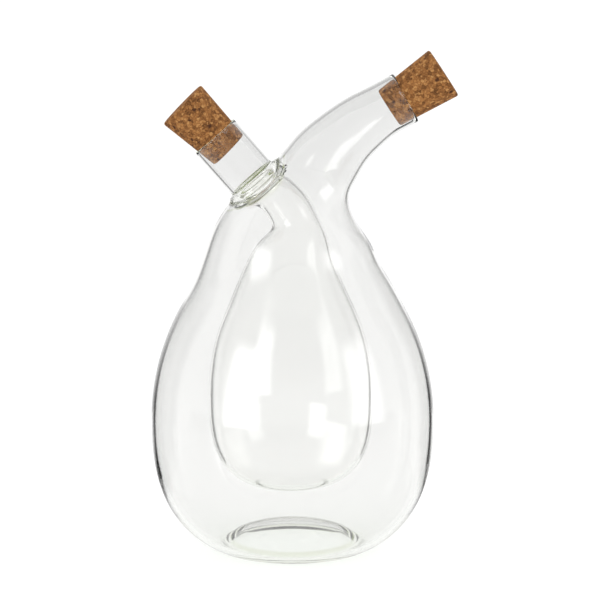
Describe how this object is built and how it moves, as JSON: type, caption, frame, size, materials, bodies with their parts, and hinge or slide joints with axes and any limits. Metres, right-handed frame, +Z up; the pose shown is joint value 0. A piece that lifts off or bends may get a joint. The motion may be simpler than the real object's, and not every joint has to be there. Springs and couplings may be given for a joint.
{
  "type": "oil and vinegar cruet",
  "caption": "Pear-shaped blown-glass cruet with a curved pouring spout and a second bulb sealed inside it, each mouth closed by a tapered cork.",
  "frame": {"origin": "on the table, under the axis of the round body", "axes": "+Z up, +X from the neck of the inner vessel towards the spout, Y=0 is the plane of symmetry"},
  "size_m": [0.0972, 0.09, 0.1599],
  "materials": {
    "glass": "clear, fire-polished",
    "cork": "matt, pressed granules"
  },
  "bodies": {
    "vessel": {"outer_vessel": "glass", "inner_vessel": "glass"},
    "neck_cork": {"neck_cork": "cork"},
    "spout_cork": {"spout_cork": "cork"}
  },
  "joints": [
    {"name": "neck_cork_pull", "type": "slide", "parent": "vessel", "child": "neck_cork", "axis": [-0.7166, 0, 0.6975], "range_m": [0, 0.022]},
    {"name": "spout_cork_pull", "type": "slide", "parent": "vessel", "child": "spout_cork", "axis": [0.836, 0, 0.5487], "range_m": [0, 0.022]}
  ]
}
